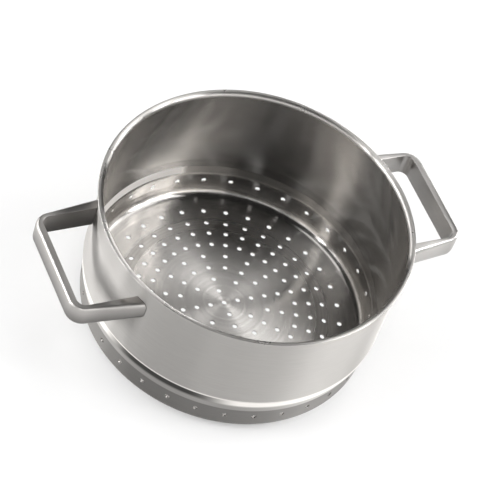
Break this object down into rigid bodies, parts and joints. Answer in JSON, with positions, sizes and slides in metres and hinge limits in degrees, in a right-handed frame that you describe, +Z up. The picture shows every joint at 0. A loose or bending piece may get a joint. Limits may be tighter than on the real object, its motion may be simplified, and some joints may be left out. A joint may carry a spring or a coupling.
{
  "type": "steamer insert",
  "caption": "Straight-sided steel steamer pan with a perforated base and skirt, a stepped shoulder, an outward lip and welded side loop handles.",
  "frame": {"origin": "centre of the base, on the floor that the pan stands on", "axes": "+X out through the handle on the picture's right, +Y across the handles, +Z up"},
  "size_m": [0.3344, 0.2512, 0.1208],
  "materials": {
    "brushed_steel": "satin, brushed around the pan",
    "polished_steel": "half polished, brushed along the bar",
    "weld_steel": "dull weld metal"
  },
  "bodies": {
    "root": {"pressed_shell": "brushed_steel", "right_handle": "polished_steel", "left_handle": "polished_steel", "weld_right_front": "weld_steel", "weld_right_rear": "weld_steel", "weld_left_front": "weld_steel", "weld_left_rear": "weld_steel"}
  },
  "joints": []
}
